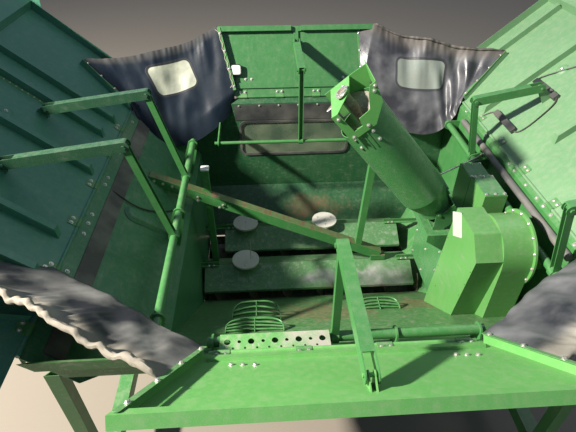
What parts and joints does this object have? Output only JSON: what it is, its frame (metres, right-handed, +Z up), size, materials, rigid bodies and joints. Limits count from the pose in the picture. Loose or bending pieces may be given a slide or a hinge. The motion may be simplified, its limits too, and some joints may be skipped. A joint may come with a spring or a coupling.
{
  "type": "combine harvester grain tank",
  "caption": "Sheet-steel grain tank with hinged extension panels on fold arms, fabric corners, a folding loading auger and cross augers under ridge covers",
  "frame": {"origin": "centre of the bolt pattern in the undersides of the two base rails", "axes": "+X to the machine's right, +Y forward, +Z up"},
  "size_m": [4.8806, 3.4656, 2.4978],
  "materials": {
    "painted_sheet": "satin green paint, worn by grain",
    "painted_frame": "satin green paint",
    "dark_paint": "satin black paint",
    "steel": "bright steel polished by grain",
    "rubber": "matt rubber",
    "glass": "tinted pane",
    "plastic": "moulded plastic",
    "fabric": "coated fabric with dusty hems"
  },
  "bodies": {
    "tank": {"base_frame": "painted_frame", "wall_left": "painted_sheet", "wall_right": "painted_sheet", "wall_rear": "painted_sheet", "wall_front": "painted_sheet", "window_glass": "glass", "window_gasket": "rubber", "floor_troughs": "painted_sheet", "cover_rear": "painted_sheet", "cover_front": "painted_sheet", "cover_hangers": "painted_frame", "tube_brackets": "painted_frame", "loading_auger_boot": "painted_frame", "drive_trunk": "painted_sheet", "gear_housings": "painted_frame", "elevator_head": "painted_sheet", "elevator_drum": "painted_frame", "post_left": "painted_frame", "cross_brace": "painted_frame", "strut_centre": "painted_frame", "sensor_stands": "painted_frame", "sensor_discs": "plastic", "step_bar": "steel", "step_grids": "painted_frame", "seal_left": "rubber", "seal_right": "rubber", "front_flap": "rubber"},
    "left_extension": {"extension_left": "painted_sheet", "side_fabrics_left": "fabric"},
    "right_extension": {"extension_right": "painted_sheet", "side_fabrics_right": "fabric"},
    "front_extension": {"extension_front": "painted_sheet", "work_light": "plastic", "end_fabrics_front": "fabric"},
    "rear_extension": {"extension_rear": "painted_sheet", "end_fabrics_rear": "fabric"},
    "left_fold_arms": {"torque_tube_left": "painted_frame"},
    "right_fold_arms": {"torque_tube_right": "painted_frame"},
    "front_fold_arm": {"torque_tube_front": "painted_frame"},
    "rear_fold_arm": {"torque_tube_rear": "painted_frame"},
    "left_links": {"fold_links_left": "painted_frame"},
    "right_links": {"fold_links_right": "painted_frame"},
    "front_link": {"fold_links_front": "painted_frame"},
    "rear_link": {"fold_links_rear": "painted_frame"},
    "loading_auger": {"loading_auger_tube": "painted_sheet", "discharge_head": "painted_sheet"},
    "loading_screw": {"loading_auger_screw": "steel"},
    "auger_link": {"auger_link_rod": "painted_frame"},
    "rear_cross_auger": {"cross_auger_rear": "steel"},
    "front_cross_auger": {"cross_auger_front": "steel"}
  },
  "joints": [
    {"name": "left_extension_hinge", "type": "hinge", "parent": "tank", "child": "left_extension", "pos_m": [-1.4, 0, 1.3], "axis": [0, 1, 0], "range_deg": [0, 122], "deforming": ["side_fabrics_left"]},
    {"name": "left_torque_tube_turn", "type": "hinge", "parent": "tank", "child": "left_fold_arms", "pos_m": [-0.898, 0, 1.092], "axis": [0, 1, 0], "range_deg": [0, 87.36]},
    {"name": "left_link_pivot", "type": "hinge", "parent": "left_extension", "child": "left_links", "pos_m": [-1.736, 0, 1.657], "axis": [0, 1, 0], "range_deg": [-105.66, 0]},
    {"name": "right_extension_hinge", "type": "hinge", "parent": "tank", "child": "right_extension", "pos_m": [1.4, 0, 1.3], "axis": [0, -1, 0], "range_deg": [0, 122], "deforming": ["side_fabrics_right"]},
    {"name": "right_torque_tube_turn", "type": "hinge", "parent": "tank", "child": "right_fold_arms", "pos_m": [1.29, 0, 1.13], "axis": [0, -1, 0], "range_deg": [0, 115.18]},
    {"name": "right_link_pivot", "type": "hinge", "parent": "right_extension", "child": "right_links", "pos_m": [1.65, 0, 1.68], "axis": [0, -1, 0], "range_deg": [-47.83, 0]},
    {"name": "front_extension_hinge", "type": "hinge", "parent": "tank", "child": "front_extension", "pos_m": [0, 1.312, 1.3], "axis": [1, 0, 0], "range_deg": [0, 120], "deforming": ["end_fabrics_front"]},
    {"name": "front_torque_tube_turn", "type": "hinge", "parent": "tank", "child": "front_fold_arm", "pos_m": [0, 0.905, 1.08], "axis": [1, 0, 0], "range_deg": [0, 80.17]},
    {"name": "front_link_pivot", "type": "hinge", "parent": "front_extension", "child": "front_link", "pos_m": [0, 1.489, 1.707], "axis": [1, 0, 0], "range_deg": [-121.33, 0]},
    {"name": "rear_extension_hinge", "type": "hinge", "parent": "tank", "child": "rear_extension", "pos_m": [0, -1.312, 1.3], "axis": [-1, 0, 0], "range_deg": [0, 142], "deforming": ["end_fabrics_rear"]},
    {"name": "rear_torque_tube_turn", "type": "hinge", "parent": "tank", "child": "rear_fold_arm", "pos_m": [0, -1.05, 1.03], "axis": [-1, 0, 0], "range_deg": [0, 121.85]},
    {"name": "rear_link_pivot", "type": "hinge", "parent": "rear_extension", "child": "rear_link", "pos_m": [0, -1.665, 1.63], "axis": [-1, 0, 0], "range_deg": [-78.11, 0]},
    {"name": "loading_auger_fold", "type": "hinge", "parent": "tank", "child": "loading_auger", "pos_m": [0.856, 0, 1.051], "axis": [0, -1, 0], "range_deg": [0, 42.01]},
    {"name": "auger_link_pivot", "type": "hinge", "parent": "right_fold_arms", "child": "auger_link", "pos_m": [1.3434, 0.452, 1.16879], "axis": [0, -1, 0], "range_deg": [-117.46, 0]},
    {"name": "loading_screw_spin", "type": "hinge", "parent": "loading_auger", "child": "loading_screw", "pos_m": [0.856, 0, 1.051], "axis": [-0.6428, 0, 0.766], "continuous": true},
    {"name": "rear_cross_auger_spin", "type": "hinge", "parent": "tank", "child": "rear_cross_auger", "pos_m": [0, 0.32, 0], "axis": [1, 0, 0], "continuous": true},
    {"name": "front_cross_auger_spin", "type": "hinge", "parent": "tank", "child": "front_cross_auger", "pos_m": [0, 0.81, 0], "axis": [1, 0, 0], "continuous": true}
  ],
  "couplings": [
    {"joint": "left_torque_tube_turn", "follows": "left_extension_hinge", "ratio": 0.716},
    {"joint": "left_link_pivot", "follows": "left_extension_hinge", "ratio": -0.866},
    {"joint": "right_extension_hinge", "follows": "left_extension_hinge", "ratio": 1},
    {"joint": "right_torque_tube_turn", "follows": "left_extension_hinge", "ratio": 0.944},
    {"joint": "right_link_pivot", "follows": "left_extension_hinge", "ratio": -0.392},
    {"joint": "front_extension_hinge", "follows": "left_extension_hinge", "ratio": 0.98361},
    {"joint": "front_torque_tube_turn", "follows": "left_extension_hinge", "ratio": 0.65705},
    {"joint": "front_link_pivot", "follows": "left_extension_hinge", "ratio": -0.99443},
    {"joint": "rear_extension_hinge", "follows": "left_extension_hinge", "ratio": 1.1639},
    {"joint": "rear_torque_tube_turn", "follows": "left_extension_hinge", "ratio": 0.99866},
    {"joint": "rear_link_pivot", "follows": "left_extension_hinge", "ratio": -0.64016},
    {"joint": "loading_auger_fold", "follows": "left_extension_hinge", "ratio": 0.34426},
    {"joint": "auger_link_pivot", "follows": "left_extension_hinge", "ratio": -0.9626}
  ]
}
